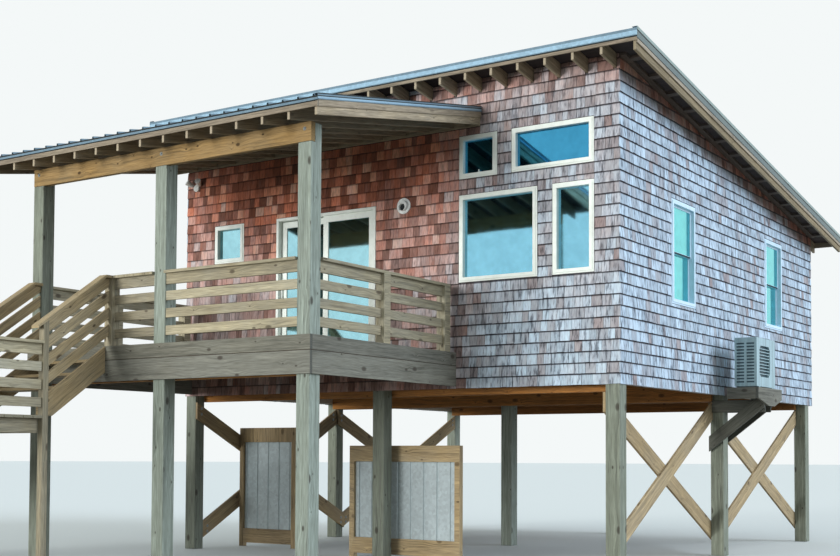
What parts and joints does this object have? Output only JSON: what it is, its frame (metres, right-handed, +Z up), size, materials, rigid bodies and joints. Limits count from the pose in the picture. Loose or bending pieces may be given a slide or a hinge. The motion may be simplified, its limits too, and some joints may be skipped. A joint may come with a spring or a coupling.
{
  "type": "beach house on piles",
  "caption": "Shingled beach house on square piles under a shed roof, with a covered porch, outside stair, railed deck and a sliding patio door.",
  "frame": {"origin": "foot of the front right pile, on its axis, at ground level", "axes": "+Z up, -Y towards the front wall with the porch, +X towards the right side wall"},
  "size_m": [10.907, 14.3245, 6.8806],
  "materials": {
    "treated_pine": "weathered",
    "cedar_shingle": "weathered",
    "pale_wood": "satin",
    "galvanised_sheet": "satin",
    "white_vinyl": "satin",
    "window_glass": "gloss",
    "white_painted_steel": "satin"
  },
  "bodies": {
    "house": {"house_piles": "treated_pine", "porch_posts": "treated_pine", "floor_girders": "treated_pine", "floor_joists": "treated_pine", "house_floor": "pale_wood", "falling_braces": "treated_pine", "rising_braces": "treated_pine", "front_wall_left": "cedar_shingle", "front_wall_right": "cedar_shingle", "front_wall_over_door": "cedar_shingle", "right_wall": "cedar_shingle", "left_wall": "cedar_shingle", "back_wall": "cedar_shingle", "eave_blocks": "cedar_shingle", "main_rafters": "treated_pine", "lookouts": "treated_pine", "barge_rafters": "treated_pine", "main_roof_boards": "pale_wood", "main_fascia": "pale_wood", "main_roof_metal": "galvanised_sheet", "main_roof_trim": "galvanised_sheet", "porch_beam": "treated_pine", "porch_ledger": "treated_pine", "porch_rafters": "treated_pine", "porch_roof_boards": "pale_wood", "porch_fascia": "pale_wood", "porch_roof_metal": "galvanised_sheet", "porch_roof_trim": "galvanised_sheet", "deck_girder": "treated_pine", "deck_joists": "treated_pine", "deck_floor": "treated_pine", "deck_rim": "treated_pine", "right_rail": "treated_pine", "front_rail": "treated_pine", "left_rail": "treated_pine", "upper_flight": "treated_pine", "landing": "treated_pine", "landing_posts": "treated_pine", "landing_guard": "treated_pine", "lower_flight": "treated_pine", "upper_stair_rails": "treated_pine", "lower_stair_rails": "treated_pine", "window_frames": "white_vinyl", "window_glass": "window_glass", "door_frame": "white_vinyl", "door_fixed_leaf": "white_vinyl", "air_unit": "white_painted_steel", "air_unit_shelf": "treated_pine", "air_unit_arms": "treated_pine", "air_unit_braces": "treated_pine", "wall_vent": "white_vinyl", "flood_light": "white_painted_steel", "screen_frames": "treated_pine", "screen_sheets": "galvanised_sheet"},
    "door_leaf": {"door_sliding_leaf": "white_vinyl", "door_sliding_glass": "window_glass"}
  },
  "joints": [
    {"name": "door_slide", "type": "slide", "parent": "house", "child": "door_leaf", "axis": [1, 0, 0], "range_m": [0, 0.8]}
  ]
}
